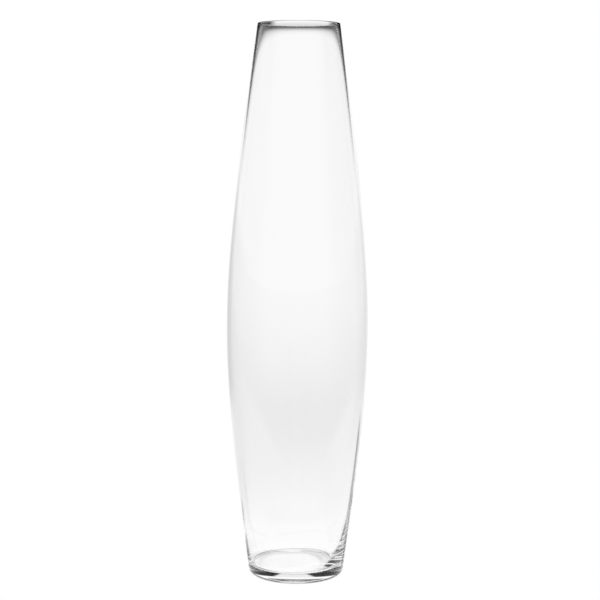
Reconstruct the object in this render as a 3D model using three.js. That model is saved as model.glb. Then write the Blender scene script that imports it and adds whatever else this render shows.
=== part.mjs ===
// A slender, barrel-shaped bud vase of clear glass, blown in one piece.
// Sizes are in millimetres, +Z is up, and the origin is the middle of the foot, on the table.
// The whole wall is one closed line of points, turned once round the Z axis:
// underside, heel, outside of the body, lip, inside of the body and inner floor.

import * as THREE from "three";

// Outside of the body
const height = 300;
const bellyHeight = 137; // where the body is widest
const bellyRadius = 38;
const mouthRadius = 21.7; // where the outside would reach the top, without the round of the lip
const footRadius = 25.6; // where the outside would reach the table, without the round of the heel
const upperRounding = 76; // a larger value spreads the bend of the belly further up the body
const lowerRounding = 70; // the same, down the body

// Glass
const bodyWall = 1.35; // over most of the height
const lipWall = 1.4; // at the fire-polished lip
const lipRise = 4; // how far below the top the wall starts to thicken towards the lip
const heelWall = 4.1; // beside the edge of the inner floor
const heelRise = 43; // how far above the inner floor the wall starts to thicken towards it
const heelPower = 4.3; // a larger value keeps the thick glass closer to the inner floor
const floorHeight = 5.4; // of the inner floor's edge, above the table
const floorCrown = 1.6; // how far the middle of the inner floor stands above its edge
const floorFillet = 2.2; // round between the inner wall and the inner floor

// Foot
const heelRadius = 3.2; // round between the outside and the table
const contactWidth = 1.2; // of the flat ring that the vase stands on
const kickDepth = 1.2; // how far the middle of the underside is drawn up from the table

// Facets
const turnSteps = 48; // round the axis
const wallSteps = 24; // up each side of the wall
const roundSteps = 4; // round the heel, the floor fillet and each half of the lip
const dishSteps = 5; // from the axis to the edge of the underside and of the inner floor

const point = (radius, z) => new THREE.Vector2(radius, z);

// A hyperbola: it starts level at the belly, bends over the length of rounding, and reaches drop at span.
function taper(distance, span, drop, rounding) {
  const bend = (length) => Math.hypot(length, rounding) - rounding;
  return (drop * bend(distance)) / bend(span);
}

function outerRadius(z) {
  const above = z > bellyHeight;
  const distance = Math.abs(z - bellyHeight);
  const drop = above
    ? taper(distance, height - bellyHeight, bellyRadius - mouthRadius, upperRounding)
    : taper(distance, bellyHeight, bellyRadius - footRadius, lowerRounding);
  return bellyRadius - drop;
}

// The wall thickens slowly at first and faster near the lip and the inner floor.
function wallThickness(z) {
  const nearLip = Math.max(0, 1 - (height - z) / lipRise);
  const nearFloor = Math.max(0, 1 - (z - floorHeight) / heelRise);
  const atLip = (lipWall - bodyWall) * nearLip ** 2;
  const atHeel = (heelWall - bodyWall) * nearFloor ** heelPower;
  return bodyWall + atLip + atHeel;
}

const innerRadius = (z) => outerRadius(z) - wallThickness(z);

// Angle from the vertical at which a wall leans outwards as it rises.
function lean(radiusAt, z) {
  const step = 0.01;
  return Math.atan2(radiusAt(z + step) - radiusAt(z), step);
}

// Points on a round from angle first to angle last, both included.
function arc(centre, radius, first, last, steps) {
  return Array.from({ length: steps + 1 }, (_, i) => {
    const angle = THREE.MathUtils.lerp(first, last, i / steps);
    return point(centre.x + radius * Math.cos(angle), centre.y + radius * Math.sin(angle));
  });
}

// Points on a wall between two heights, both left out because the rounds at its ends hold them.
// They lie closer together towards the ends, where the glass thickens.
function wall(radiusAt, first, last) {
  return Array.from({ length: wallSteps - 1 }, (_, i) => {
    const share = (1 - Math.cos((Math.PI * (i + 1)) / wallSteps)) / 2;
    const z = THREE.MathUtils.lerp(first, last, share);
    return point(radiusAt(z), z);
  });
}

// A shallow bowl from the axis outwards: heightAt takes the share of the way to the edge.
function dish(edgeRadius, heightAt) {
  return Array.from({ length: dishSteps }, (_, i) => {
    const share = i / dishSteps;
    return point(edgeRadius * share, heightAt(share));
  });
}

// The heel touches the table and runs into the outside of the body without a corner.
const heelLean = lean(outerRadius, heelRadius);
const heelTop = heelRadius * (1 - Math.sin(heelLean));
const heelCentre = point(outerRadius(heelTop) - heelRadius * Math.cos(heelLean), heelRadius);
const heel = arc(heelCentre, heelRadius, -Math.PI / 2, -heelLean, roundSteps);

// The underside is a flat ring round a shallow dome, so that the vase stands without rocking.
const contactInner = heelCentre.x - contactWidth;
const underside = dish(contactInner, (share) => kickDepth * (1 - share ** 2));
underside.push(point(contactInner, 0));

// The lip is a half round, as thick as the wall below it.
const lipRadius = lipWall / 2;
const lipHeight = height - lipRadius;
const lipCentre = point(outerRadius(lipHeight) - lipRadius, lipHeight);
const lip = arc(lipCentre, lipRadius, 0, Math.PI, 2 * roundSteps);

// The fillet touches the inner floor from above and runs into the inner wall.
const filletLean = lean(innerRadius, floorHeight + floorFillet / 2);
const filletTop = floorHeight + floorFillet * (1 - Math.sin(filletLean));
const filletCentre = point(
  innerRadius(filletTop) - floorFillet * Math.cos(filletLean),
  floorHeight + floorFillet,
);
const fillet = arc(filletCentre, floorFillet, -filletLean, -Math.PI / 2, roundSteps);
const innerFloor = dish(filletCentre.x, (share) => floorHeight + floorCrown * (1 - share ** 2) ** 2);

const profile = [
  ...underside,
  ...heel,
  ...wall(outerRadius, heelTop, lipHeight),
  ...lip,
  ...wall(innerRadius, lipHeight, filletTop),
  ...fillet,
  ...innerFloor.reverse(),
];

const clearGlass = new THREE.MeshStandardMaterial({
  color: 0xf2f5f5,
  roughness: 0.03,
  metalness: 0,
  transparent: true,
  opacity: 0.35,
});

const glassBody = new THREE.Mesh(
  new THREE.LatheGeometry(profile, turnSteps).rotateX(Math.PI / 2),
  clearGlass,
);
glassBody.name = "glass_body";

const vase = new THREE.Group();
vase.add(glassBody);

export default vase;
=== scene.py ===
"""A slender vase of clear blown glass on a white table, lit as for a catalogue picture."""

import math

import bpy
import numpy as np
from mathutils import Matrix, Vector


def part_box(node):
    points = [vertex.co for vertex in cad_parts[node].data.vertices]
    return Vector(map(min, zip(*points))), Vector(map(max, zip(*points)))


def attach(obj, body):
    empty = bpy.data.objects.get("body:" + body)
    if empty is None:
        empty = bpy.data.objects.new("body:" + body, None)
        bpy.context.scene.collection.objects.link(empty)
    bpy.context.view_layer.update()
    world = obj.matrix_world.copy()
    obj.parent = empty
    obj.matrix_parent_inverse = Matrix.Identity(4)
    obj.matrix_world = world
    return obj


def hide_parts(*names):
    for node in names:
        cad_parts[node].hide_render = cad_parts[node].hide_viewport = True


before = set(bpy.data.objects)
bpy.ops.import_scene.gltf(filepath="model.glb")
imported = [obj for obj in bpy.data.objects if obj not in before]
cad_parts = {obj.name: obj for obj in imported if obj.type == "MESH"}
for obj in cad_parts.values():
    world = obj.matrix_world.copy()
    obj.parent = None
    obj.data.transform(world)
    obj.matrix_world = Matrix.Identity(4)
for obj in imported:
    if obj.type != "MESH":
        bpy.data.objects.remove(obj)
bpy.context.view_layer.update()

# Outside of the body, in metres. The height and the belly's radius come from the frame.
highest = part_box("glass_body")[1]
HEIGHT = highest.z
BELLY_RADIUS = highest.x
BELLY_HEIGHT = 0.137
MOUTH_RADIUS = 0.0217
FOOT_RADIUS = 0.0256
UPPER_ROUNDING = 0.076  # a larger value spreads the bend of the belly further up the body
LOWER_ROUNDING = 0.070  # the same, down the body

# Wall and lip
BODY_WALL = 0.00135
LIP_WALL = 0.00145
LIP_RISE = 0.001061  # length over which the wall thickens towards the lip
LIP_ROUND = 0.0002371  # height of the lip's rounded top
LIP_UNEVEN = 3.928e-05  # how much thicker the lip is at the front than at the back

# Floor and foot
HEEL_WALL = 0.003736  # beside the edge of the inner floor
HEEL_RISE = 0.04177  # how far above the inner floor the wall starts to thicken towards it
HEEL_POWER = 5.269  # a larger value keeps the thick glass closer to the inner floor
FLOOR_HEIGHT = 0.005547  # of the inner floor's edge, above the table
FLOOR_CROWN = 0.001429  # how far the middle of the inner floor stands above its edge
FLOOR_FILLET = 0.002384  # round between the inner wall and the inner floor
HEEL_RADIUS = 0.002302  # round between the outside and the table
CONTACT_WIDTH = 0.0005  # of the flat ring that the vase stands on
KICK_DEPTH = 0.001054  # how far the middle of the underside is drawn up from the table

# The hollow was blown a little to one side: it lies off the axis at the floor, and less and less further up.
HOLLOW_SHIFT = -0.001857
HOLLOW_FADE = 0.01729

# Surface of the glass: slow waves in the wall, and a faint film
GLASS_COLOUR = (1.0, 1.0, 1.0, 1.0)
GLASS_INDEX = 1.51
WAVE_SCALE = 25.0
WAVE_DETAIL = 0.0
WAVE_HEIGHT = 4e-05
FILM_SCALE = 60.0
FILM_DETAIL = 3.0
FILM_EDGE = (0.45, 0.8)
FILM_ROUGHNESS = 0.03

# Facets
TURN_STEPS = 192  # round the axis of the vase
WALL_STEPS = 110  # up each side of the wall
ROUND_STEPS = 10  # round the heel, the floor fillet and each half of the lip
DISH_STEPS = 16  # from the axis to the edge of the underside and of the inner floor
TABLE_STEPS = 128  # round the table
FRONT_STEPS = 64  # along the front light
SLOPE_STEP = 1e-5  # rise over which the slope of a wall is taken

# Camera, fitted to the outline of the vase in the photograph
CAMERA_PLACE = (0.0014, -1.252, 0.389)
CAMERA_PITCH = math.radians(10.74)
CAMERA_ROLL = math.radians(0.34)
SENSOR = 36.0
LENS = 142.1

# Bounces of light, enough to get all the way through the thick glass of the base
BOUNCES = 32

# Studio, as the camera sees it: behind is beyond the vase, and in front is on the camera's side.
# A glow is a brightness, with 1 for the white of the picture. A shade is the share of a glow that is lost.
# A pair of values says where a soft edge starts and where it ends.
# Distances are from the axis of the vase. Angles are in radians, round the axis, from straight behind it.
WHITE_GLOW = 1.0
RIGHT = 1.0
LEFT = -1.0

# Dark room with a wide soft light overhead, whose edge is an angle above the horizon
ROOM_GLOW = 0.03
TOP_GLOW = 1.0
TOP_EDGE = (0.3, 1.15)

# Table with a pool of light round the vase. Under the foot and close to it the light is lifted by a factor.
TABLE_RADIUS = 12.0
TABLE_EDGE = (2.686, 5.386)
TABLE_GLOW = 0.88
POOL_GLOW = 0.9727
POOL_EDGE = (0.06891, 0.8892)
FOOT_LIFT = 1.09
FOOT_LIFT_EDGE = (0.023, 0.05)

# Wide shades on the table: each has a value near the vase and one far from it
SHADE_START = (0.07838, 0.2)  # distances where the shades set in
SHADE_REACH = (0.1779, 0.6118)  # distances where the near value gives way to the far one
RIGHT_SHADES = (0.0884, 0.1231)
RIGHT_SHADE_EDGE = (0.3001, 0.9466)
LEFT_SHADES = (0.4497, 0.35)
LEFT_SHADE_EDGE = (0.2791, 1.339)
FRONT_SHADES = (0.6615, 0.0)
FRONT_SHADE_EDGE = (math.radians(90), math.radians(140))

# Narrow shades on the table: a thin ring where the glass meets it, and a patch in front of the foot
CONTACT_SHADE = 0.5
CONTACT_SHADE_START = (0.0228, 0.0238)
CONTACT_SHADE_END = (0.0242, 0.0265)
PATCH_SHADE = 0.9
PATCH_SHADE_START = (0.026, 0.031)
PATCH_SHADE_END = (0.036, 0.06)
PATCH_SHADE_EDGE = (1.7, 2.2)  # angles where the patch sets in, towards the front

# Painted shade on the table: strips behind the vase, at its sides, where its glow is darker. The nearer a
# strip, the lower it shows in the glass.
# Their distances and angles are taken from a pivot, a point this far out at the strip's own side.
# A strip has two soft ends, near and far, and two soft sides, inner and outer.
STRIP_PIVOT = 0.03
BASE_SHADE_STRIP = {
    "near": (0.01, 0.02), "far": (0.24, 0.36),
    "inner": (0.3369, 0.4441), "outer": (0.5446, 0.71),
}
DASH_SHADE_STRIP = {
    "near": (0.07028, 0.09378), "far": (0.11, 0.13),
    "inner": (0.35, 0.45), "outer": (0.58, 0.72),
}
HEEL_SHADE_STRIP = {
    "near": (0.003, 0.006), "far": (0.04614, 0.06996),
    "inner": (0.2303, 0.3683), "outer": (0.6908, 0.747),
}
BODY_SHADE_STRIP = {
    "near": (0.3, 0.45), "far": (2.5, 4.0),
    "inner": (0.1, 0.3), "outer": (0.6, 1.0),
}
PAINTED_SHADE_STRIPS = (
    {"side": RIGHT, "shade": 0.6454, **BASE_SHADE_STRIP},
    {"side": LEFT, "shade": 0.5088, **DASH_SHADE_STRIP},
    {"side": RIGHT, "shade": 0.8664, **HEEL_SHADE_STRIP},
    {"side": LEFT, "shade": 0.5998, **HEEL_SHADE_STRIP},
    {"side": RIGHT, "shade": 0.1, **BODY_SHADE_STRIP},
    {"side": LEFT, "shade": 0.22, **BODY_SHADE_STRIP},
)

# White panel behind the vase, with a soft foot, soft sides that flare upwards and a soft arched top
BACKDROP_DISTANCE = 0.2
BACKDROP_GLOWS = (0.846, 0.9561)  # low down and higher up
BACKDROP_RISE = (0.03, 0.13)  # heights between which the glow changes
BACKDROP_FOOT = (0.0, 0.05)
BACKDROP_SIDE = (0.0061, 0.0123)  # at the foot, from the centre
BACKDROP_SIDE_CENTRE = 0.005486
BACKDROP_FLARE = (0.498, 0.662)  # how fast the start and the end of the side move out with height
BACKDROP_TOP = (0.2779, 0.2931)
BACKDROP_ARCH = 2.717  # a larger value bends the top down more towards the sides
BACKDROP_ARCH_CENTRE = 0.005984

# Small white card close behind the mouth
MOUTH_CARD_DISTANCE = 0.0245
MOUTH_CARD_GLOWS = (0.6823, 1.0)  # low down and higher up
MOUTH_CARD_RISE = (0.2966, 0.3001)  # heights between which the glow changes
MOUTH_CARD_CENTRE = 0.0018
MOUTH_CARD_SIDE = (0.0135, 0.019)
MOUTH_CARD_HEIGHTS = (0.289, 0.301)
MOUTH_CARD_SURFACES = 2.5  # it shows only through fewer surfaces of glass than this: through one wall

# Tall curved light behind the camera, with a low band of light that goes on round the sides
FRONT_GLOW = 1.0
FRONT_RADIUS = 1.9
FRONT_HEIGHTS = (0.0, 2.4)
FRONT_EDGE = (1.043, 2.221)
BAND_COVER = 0.9
BAND_EDGE = (0.3271, 0.9052)
BAND_FOOT = (0.0, 0.1)
BAND_TOP = (-0.1683, 0.2022)  # heights from a line that climbs towards the front
BAND_CLIMB = 0.4223  # rise of that line for each radian
BAND_CLIMB_END = 1.432  # angle where it stops climbing


def taper(distance, span, drop, rounding):
    """A hyperbola that starts level, bends over the length of rounding and reaches drop at span."""
    bend = np.hypot(distance, rounding) - rounding
    full = math.hypot(span, rounding) - rounding
    return drop * bend / full


def outer_radius(z):
    distance = np.abs(z - BELLY_HEIGHT)
    above = taper(distance, HEIGHT - BELLY_HEIGHT, BELLY_RADIUS - MOUTH_RADIUS, UPPER_ROUNDING)
    below = taper(distance, BELLY_HEIGHT, BELLY_RADIUS - FOOT_RADIUS, LOWER_ROUNDING)
    return BELLY_RADIUS - np.where(z > BELLY_HEIGHT, above, below)


def near_lip(z):
    """1 at the lip, falling to 0 below it."""
    return np.exp(np.minimum(0, z - HEIGHT + LIP_ROUND) / LIP_RISE)


def wall_thickness(z):
    near_floor = np.maximum(0, 1 - (z - FLOOR_HEIGHT) / HEEL_RISE)
    at_lip = (LIP_WALL - BODY_WALL) * near_lip(z)
    at_heel = (HEEL_WALL - BODY_WALL) * near_floor**HEEL_POWER
    return BODY_WALL + at_lip + at_heel


def inner_radius(z):
    return outer_radius(z) - wall_thickness(z)


def lean(radius_at, z):
    """Angle from the vertical at which a wall leans outwards as it rises."""
    return math.atan2(float(radius_at(z + SLOPE_STEP) - radius_at(z)), SLOPE_STEP)


def arc(centre, radius, first, last, steps, rise=None):
    """Points on a round, both ends included. With a rise it is an ellipse, that high."""
    rise = rise or radius
    angles = np.linspace(first, last, steps + 1)
    return [(centre[0] + radius * math.cos(a), centre[1] + rise * math.sin(a)) for a in angles]


def wall(radius_at, first, last):
    """Points between two heights, closer together towards the ends, with the ends left out."""
    shares = (1 - np.cos(np.pi * np.arange(1, WALL_STEPS) / WALL_STEPS)) / 2
    return [(float(radius_at(z)), z) for z in first + (last - first) * shares]


def dish(edge_radius, height_at):
    """Points from the axis towards an edge, which is left out. height_at takes the share of the way."""
    return [(edge_radius * s, height_at(s)) for s in np.arange(DISH_STEPS) / DISH_STEPS]


def glass_profile():
    """The line of the wall as (radius, height), in two lists.

    One goes from the axis under the foot over the top of the lip, the other down the inside to the axis."""
    heel_lean = lean(outer_radius, HEEL_RADIUS)
    heel_top = HEEL_RADIUS * (1 - math.sin(heel_lean))
    heel_centre = (float(outer_radius(heel_top)) - HEEL_RADIUS * math.cos(heel_lean), HEEL_RADIUS)
    contact_inner = heel_centre[0] - CONTACT_WIDTH
    lip_height = HEIGHT - LIP_ROUND
    lip_centre = (float(outer_radius(lip_height)) - LIP_WALL / 2, lip_height)
    fillet_lean = lean(inner_radius, FLOOR_HEIGHT + FLOOR_FILLET / 2)
    fillet_top = FLOOR_HEIGHT + FLOOR_FILLET * (1 - math.sin(fillet_lean))
    fillet_centre = (
        float(inner_radius(fillet_top)) - FLOOR_FILLET * math.cos(fillet_lean),
        FLOOR_HEIGHT + FLOOR_FILLET,
    )
    outside = dish(contact_inner, lambda s: KICK_DEPTH * (1 - s**2))
    outside += [(contact_inner, 0.0)]
    outside += arc(heel_centre, HEEL_RADIUS, -math.pi / 2, -heel_lean, ROUND_STEPS)
    outside += wall(outer_radius, heel_top, lip_height)
    outside += arc(lip_centre, LIP_WALL / 2, 0, math.pi, 2 * ROUND_STEPS, LIP_ROUND)
    inside = wall(inner_radius, lip_height, fillet_top)
    inside += arc(fillet_centre, FLOOR_FILLET, -fillet_lean, -math.pi / 2, ROUND_STEPS)
    inside += dish(fillet_centre[0], lambda s: FLOOR_HEIGHT + FLOOR_CROWN * (1 - s**2) ** 2)[::-1]
    return outside, inside


def glass_points():
    """Rings of points round the axis, from the foot over the lip to the inner floor, with both poles."""
    outside, inside = glass_profile()
    profile = np.array(outside + inside)
    is_inside = np.arange(len(profile))[:, None] >= len(outside)
    radius, height = profile[:, :1], profile[:, 1:]
    shift = np.where(is_inside, HOLLOW_SHIFT * np.exp((FLOOR_HEIGHT - height) / HOLLOW_FADE), 0)
    turn = 2 * np.pi * np.arange(TURN_STEPS)[None] / TURN_STEPS
    inwards = np.clip((outer_radius(height) - radius) / LIP_WALL, 0, 1)
    radius = radius - LIP_UNEVEN * near_lip(height) * inwards * (1 - np.sin(turn)) / 2
    x = radius * np.cos(turn) + shift
    y = radius * np.sin(turn)
    z = height + 0 * turn
    rings = np.stack([x, y, z], -1)
    return np.concatenate([rings[0, :1], rings[1:-1].reshape(-1, 3), rings[-1, :1]])


def turned_mesh(name, points):
    """A closed surface over rings of points, with a pole at each end."""
    ring_count = (len(points) - 2) // TURN_STEPS
    last = len(points) - 1

    def place(ring, turn):
        return 1 + ring * TURN_STEPS + turn % TURN_STEPS

    faces = []
    for t in range(TURN_STEPS):
        faces.append((0, place(0, t + 1), place(0, t)))
        faces.append((last, place(ring_count - 1, t), place(ring_count - 1, t + 1)))
        for r in range(ring_count - 1):
            faces.append((place(r, t), place(r, t + 1), place(r + 1, t + 1), place(r + 1, t)))
    mesh = bpy.data.meshes.new(name)
    mesh.from_pydata(points.tolist(), [], faces)
    mesh.update()
    mesh.shade_smooth()
    piece = bpy.data.objects.new(name, mesh)
    bpy.context.scene.collection.objects.link(piece)
    return piece


def make_camera():
    data = bpy.data.cameras.new("camera")
    data.sensor_width = SENSOR
    data.lens = LENS
    camera = bpy.data.objects.new("camera", data)
    camera.location = CAMERA_PLACE
    level = Matrix.Rotation(math.pi / 2 - CAMERA_PITCH, 3, "X")
    camera.rotation_euler = (level @ Matrix.Rotation(CAMERA_ROLL, 3, "Z")).to_euler()
    bpy.context.scene.collection.objects.link(camera)
    bpy.context.scene.camera = camera
    bpy.context.view_layer.update()
    return camera


def math_node(tree, operation, *values):
    """A Math node whose inputs are sockets or plain numbers."""
    node = tree.nodes.new("ShaderNodeMath")
    node.operation = operation
    for socket, value in zip(node.inputs, values):
        if isinstance(value, (int, float)):
            socket.default_value = value
        else:
            tree.links.new(value, socket)
    return node.outputs[0]


def multiply(tree, first, second):
    return math_node(tree, "MULTIPLY", first, second)


def subtract(tree, first, second):
    return math_node(tree, "SUBTRACT", first, second)


def multiply_add(tree, first, second, added):
    return math_node(tree, "MULTIPLY_ADD", first, second, added)


def absolute(tree, value):
    return math_node(tree, "ABSOLUTE", value)


def dimmed(tree, glow, shade):
    """What a shade leaves of a glow."""
    return multiply(tree, glow, subtract(tree, 1.0, shade))


def ramp(tree, value, edge, first, last):
    """A smooth change from first to last while value passes from the start to the end of an edge."""
    node = tree.nodes.new("ShaderNodeMapRange")
    node.interpolation_type = "SMOOTHSTEP"
    node.inputs["From Min"].default_value = edge[0]
    node.inputs["From Max"].default_value = edge[1]
    node.inputs["To Min"].default_value = first
    node.inputs["To Max"].default_value = last
    tree.links.new(value, node.inputs["Value"])
    return node.outputs["Result"]


def log_ramp(tree, distance, edge, first, last):
    """A ramp over the logarithm of a distance."""
    value = math_node(tree, "LOGARITHM", distance, math.e)
    return ramp(tree, value, [math.log(d) for d in edge], first, last)


def axes(tree, vector):
    node = tree.nodes.new("ShaderNodeSeparateXYZ")
    tree.links.new(vector, node.inputs[0])
    return node.outputs


def noise(tree, place, scale, detail):
    """Cloudy values round 0.5, with about one cloud to each 1/scale metres."""
    node = tree.nodes.new("ShaderNodeTexNoise")
    node.inputs["Scale"].default_value = scale
    node.inputs["Detail"].default_value = detail
    tree.links.new(place, node.inputs["Vector"])
    return node.outputs[0]


def object_place(tree):
    return tree.nodes.new("ShaderNodeTexCoord").outputs["Object"]


def glass_material():
    """Clear glass with slow waves in its surface and patches of a faint film."""
    material = bpy.data.materials.new("clear_glass")
    material.use_nodes = True
    tree = material.node_tree
    shader = tree.nodes["Principled BSDF"]
    place = object_place(tree)
    shader.inputs["Base Color"].default_value = GLASS_COLOUR
    shader.inputs["IOR"].default_value = GLASS_INDEX
    shader.inputs["Transmission Weight"].default_value = 1.0
    film = ramp(tree, noise(tree, place, FILM_SCALE, FILM_DETAIL), FILM_EDGE, 0.0, FILM_ROUGHNESS)
    tree.links.new(film, shader.inputs["Roughness"])
    bump = tree.nodes.new("ShaderNodeBump")
    bump.inputs["Strength"].default_value = 1.0
    bump.inputs["Distance"].default_value = WAVE_HEIGHT
    tree.links.new(noise(tree, place, WAVE_SCALE, WAVE_DETAIL), bump.inputs["Height"])
    tree.links.new(bump.outputs["Normal"], shader.inputs["Normal"])
    return material


def in_glass(tree, glow):
    """White where the camera looks straight at it, and the given glow by way of the glass."""
    direct = tree.nodes.new("ShaderNodeLightPath").outputs["Is Camera Ray"]
    return multiply_add(tree, direct, subtract(tree, WHITE_GLOW, glow), glow)


def make_world():
    """A room that is white to the camera. In the glass it is dark, with a wide soft light overhead."""
    world = bpy.data.worlds.new("studio")
    bpy.context.scene.world = world
    world.use_nodes = True
    tree = world.node_tree
    direction = tree.nodes.new("ShaderNodeTexCoord").outputs["Generated"]
    elevation = math_node(tree, "ARCSINE", axes(tree, direction)["Z"])
    glow = ramp(tree, elevation, TOP_EDGE, ROOM_GLOW, TOP_GLOW)
    tree.links.new(in_glass(tree, glow), tree.nodes["Background"].inputs["Strength"])


def light_material(name, glow, cover_of=None):
    """A glowing surface, clear where its cover is 0.

    The glow is a number, or a function that makes its nodes."""
    material = bpy.data.materials.new(name)
    material.use_nodes = True
    tree = material.node_tree
    tree.nodes.clear()
    output = tree.nodes.new("ShaderNodeOutputMaterial")
    emission = tree.nodes.new("ShaderNodeEmission")
    if callable(glow):
        tree.links.new(glow(tree), emission.inputs["Strength"])
    else:
        emission.inputs["Strength"].default_value = glow
    if cover_of is None:
        tree.links.new(emission.outputs[0], output.inputs["Surface"])
        return material
    mix = tree.nodes.new("ShaderNodeMixShader")
    tree.links.new(cover_of(tree), mix.inputs[0])
    tree.links.new(tree.nodes.new("ShaderNodeBsdfTransparent").outputs[0], mix.inputs[1])
    tree.links.new(emission.outputs[0], mix.inputs[2])
    tree.links.new(mix.outputs[0], output.inputs["Surface"])
    return material


def angle_from_back(tree):
    """Angle round the vase from straight behind it, positive on the right."""
    place = axes(tree, object_place(tree))
    return math_node(tree, "ARCTAN2", place["X"], place["Y"])


def distance_from_axis(tree):
    """Distance of a point on the table from the middle of the foot."""
    length = tree.nodes.new("ShaderNodeVectorMath")
    length.operation = "LENGTH"
    tree.links.new(object_place(tree), length.inputs[0])
    return length.outputs["Value"]


def wide_shade(tree, distance, angle):
    """Shade of the table at the right, at the left and in front, where the last one covers the others."""
    right = ramp(tree, angle, RIGHT_SHADE_EDGE, 0.0, 1.0)
    left = ramp(tree, multiply(tree, angle, LEFT), LEFT_SHADE_EDGE, 0.0, 1.0)
    in_front = ramp(tree, absolute(tree, angle), FRONT_SHADE_EDGE, 0.0, 1.0)
    shade = 0.0
    for share, shades in ((right, RIGHT_SHADES), (left, LEFT_SHADES), (in_front, FRONT_SHADES)):
        wanted = log_ramp(tree, distance, SHADE_REACH, *shades)
        shade = multiply_add(tree, share, subtract(tree, wanted, shade), shade)
    return multiply(tree, shade, log_ramp(tree, distance, SHADE_START, 0.0, 1.0))


def ring_shade(tree, distance, shade, start, end):
    """Shade of a ring on the table with soft edges."""
    return multiply(tree, ramp(tree, distance, start, 0.0, shade), ramp(tree, distance, end, 1.0, 0.0))


def strip_shade(tree, side, shade, near, far, inner, outer):
    """Painted shade on the table in a strip behind the vase, at one side of it."""
    place = axes(tree, object_place(tree))
    outwards = multiply_add(tree, place["X"], side, -STRIP_PIVOT)
    square = multiply_add(tree, outwards, outwards, multiply(tree, place["Y"], place["Y"]))
    distance = math_node(tree, "SQRT", square)
    angle = math_node(tree, "ARCTAN2", outwards, place["Y"])
    past_near = log_ramp(tree, distance, near, 0.0, shade)
    before_far = log_ramp(tree, distance, far, 1.0, 0.0)
    across = multiply(tree, ramp(tree, angle, inner, 0.0, 1.0), ramp(tree, angle, outer, 1.0, 0.0))
    return multiply(tree, multiply(tree, past_near, before_far), across)


def table_glow(tree):
    """White to the camera. In the glass, a pool of light round the vase with shades on it."""
    distance = distance_from_axis(tree)
    angle = angle_from_back(tree)
    pool = log_ramp(tree, distance, POOL_EDGE, POOL_GLOW, TABLE_GLOW)
    glow = multiply(tree, pool, ramp(tree, distance, TABLE_EDGE, 1.0, 0.0))
    glow = multiply(tree, glow, ramp(tree, distance, FOOT_LIFT_EDGE, FOOT_LIFT, 1.0))
    glow = dimmed(tree, glow, wide_shade(tree, distance, angle))
    # painted shade in strips behind the vase, at its sides
    for strip in PAINTED_SHADE_STRIPS:
        glow = dimmed(tree, glow, strip_shade(tree, **strip))
    contact = ring_shade(tree, distance, CONTACT_SHADE, CONTACT_SHADE_START, CONTACT_SHADE_END)
    glow = dimmed(tree, glow, contact)
    ring = ring_shade(tree, distance, PATCH_SHADE, PATCH_SHADE_START, PATCH_SHADE_END)
    patch = multiply(tree, ring, ramp(tree, absolute(tree, angle), PATCH_SHADE_EDGE, 0.0, 1.0))
    glow = dimmed(tree, glow, patch)
    return in_glass(tree, glow)


def make_turntable(camera):
    """A turntable for the stage that follows the camera round the vase, so that each side is lit alike."""
    turntable = bpy.data.objects.new("turntable", None)
    bpy.context.scene.collection.objects.link(turntable)
    follow = turntable.constraints.new("LOCKED_TRACK")
    follow.target = camera
    follow.track_axis = "TRACK_NEGATIVE_Y"
    follow.lock_axis = "LOCK_Z"
    return turntable


def stage_mesh(name, points, faces, material, turntable):
    """A thing on the turntable that isn't part of the object."""
    mesh = bpy.data.meshes.new(name)
    mesh.from_pydata(points, [], faces)
    mesh.materials.append(material)
    item = bpy.data.objects.new(name, mesh)
    item.parent = turntable
    bpy.context.scene.collection.objects.link(item)
    return item


def make_table(turntable):
    angles = np.linspace(0, 2 * np.pi, TABLE_STEPS, endpoint=False)
    points = [(TABLE_RADIUS * math.cos(a), TABLE_RADIUS * math.sin(a), 0.0) for a in angles]
    material = light_material("table_white", table_glow)
    stage_mesh("table", points, [range(TABLE_STEPS)], material, turntable)


def upright_panel(name, half_width, heights, distance, material, turntable):
    """A panel across the view behind the vase, which only the glass sees."""
    low, high = heights
    corners = [(-half_width, low), (half_width, low), (half_width, high), (-half_width, high)]
    points = [(x, distance, z) for x, z in corners]
    panel = stage_mesh(name, points, [range(len(points))], material, turntable)
    panel.visible_camera = False


def make_backdrop(turntable):
    """A white panel behind the vase, which fades out at its foot, its flared sides and its arched top."""
    def cover(tree):
        place = axes(tree, object_place(tree))
        across = absolute(tree, subtract(tree, place["X"], BACKDROP_SIDE_CENTRE))
        start = multiply_add(tree, place["Z"], BACKDROP_FLARE[0], BACKDROP_SIDE[0])
        end = multiply_add(tree, place["Z"], BACKDROP_FLARE[1], BACKDROP_SIDE[1])
        past = subtract(tree, across, start)
        share = math_node(tree, "DIVIDE", past, subtract(tree, end, start))
        side = ramp(tree, share, (0.0, 1.0), 1.0, 0.0)
        off_centre = subtract(tree, place["X"], BACKDROP_ARCH_CENTRE)
        square = multiply(tree, off_centre, off_centre)
        arched = multiply_add(tree, square, BACKDROP_ARCH, place["Z"])
        top = ramp(tree, arched, BACKDROP_TOP, 1.0, 0.0)
        foot = ramp(tree, place["Z"], BACKDROP_FOOT, 0.0, 1.0)
        return multiply(tree, multiply(tree, side, top), foot)

    def glow(tree):
        return ramp(tree, axes(tree, object_place(tree))["Z"], BACKDROP_RISE, *BACKDROP_GLOWS)

    top = BACKDROP_TOP[1]
    half_width = BACKDROP_SIDE[1] + BACKDROP_FLARE[1] * top + abs(BACKDROP_SIDE_CENTRE)
    material = light_material("backdrop_white", glow, cover)
    upright_panel("backdrop", half_width, (0.0, top), BACKDROP_DISTANCE, material, turntable)


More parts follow.
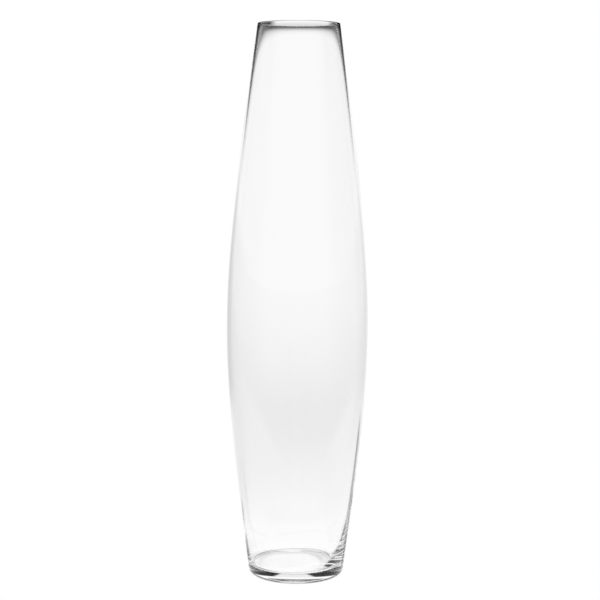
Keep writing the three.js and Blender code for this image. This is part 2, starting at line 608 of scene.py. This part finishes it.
def make_mouth_card(turntable):
    """A small white card close behind the mouth, for light that comes through the back wall alone."""
    def cover(tree):
        off_centre = subtract(tree, axes(tree, object_place(tree))["X"], MOUTH_CARD_CENTRE)
        surfaces = tree.nodes.new("ShaderNodeLightPath").outputs["Transmission Depth"]
        one_wall = math_node(tree, "LESS_THAN", surfaces, MOUTH_CARD_SURFACES)
        return multiply(tree, one_wall, ramp(tree, absolute(tree, off_centre), MOUTH_CARD_SIDE, 1.0, 0.0))

    def glow(tree):
        return ramp(tree, axes(tree, object_place(tree))["Z"], MOUTH_CARD_RISE, *MOUTH_CARD_GLOWS)

    half_width = MOUTH_CARD_SIDE[1] + abs(MOUTH_CARD_CENTRE)
    material = light_material("mouth_card_white", glow, cover)
    upright_panel("mouth_card", half_width, MOUTH_CARD_HEIGHTS, MOUTH_CARD_DISTANCE, material, turntable)


def make_front_light(turntable):
    """A tall curved soft light behind the camera, with a low band of light that goes on round the sides.

    Only the glass sees it."""
    def cover(tree):
        angle = absolute(tree, angle_from_back(tree))
        height = axes(tree, object_place(tree))["Z"]
        tall = ramp(tree, angle, FRONT_EDGE, 0.0, 1.0)
        climb = multiply(tree, math_node(tree, "MINIMUM", angle, BAND_CLIMB_END), BAND_CLIMB)
        low = ramp(tree, subtract(tree, height, climb), BAND_TOP, BAND_COVER, 0.0)
        band = multiply(tree, ramp(tree, angle, BAND_EDGE, 0.0, 1.0), low)
        foot = ramp(tree, height, BAND_FOOT, 0.0, 1.0)
        return math_node(tree, "MAXIMUM", tall, multiply(tree, band, foot))

    first = min(FRONT_EDGE[0], BAND_EDGE[0])
    angles = np.linspace(first, 2 * math.pi - first, FRONT_STEPS + 1)
    circle = [(FRONT_RADIUS * math.sin(a), FRONT_RADIUS * math.cos(a)) for a in angles]
    points = [(x, y, z) for z in FRONT_HEIGHTS for x, y in circle]
    count = len(circle)
    faces = [(i, i + 1, count + i + 1, count + i) for i in range(FRONT_STEPS)]
    material = light_material("front_white", FRONT_GLOW, cover)
    light = stage_mesh("front_light", points, faces, material, turntable)
    light.visible_camera = False


camera = make_camera()
turntable = make_turntable(camera)
make_world()
make_table(turntable)
make_backdrop(turntable)
make_mouth_card(turntable)
make_front_light(turntable)
vase = turned_mesh("vase_glass", glass_points())
vase.data.materials.append(glass_material())
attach(vase, "root")
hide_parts("glass_body")

settings = bpy.context.scene
settings.view_settings.view_transform = "Standard"
settings.cycles.max_bounces = BOUNCES
settings.cycles.transmission_bounces = BOUNCES
settings.cycles.glossy_bounces = BOUNCES
settings.cycles.transparent_max_bounces = BOUNCES
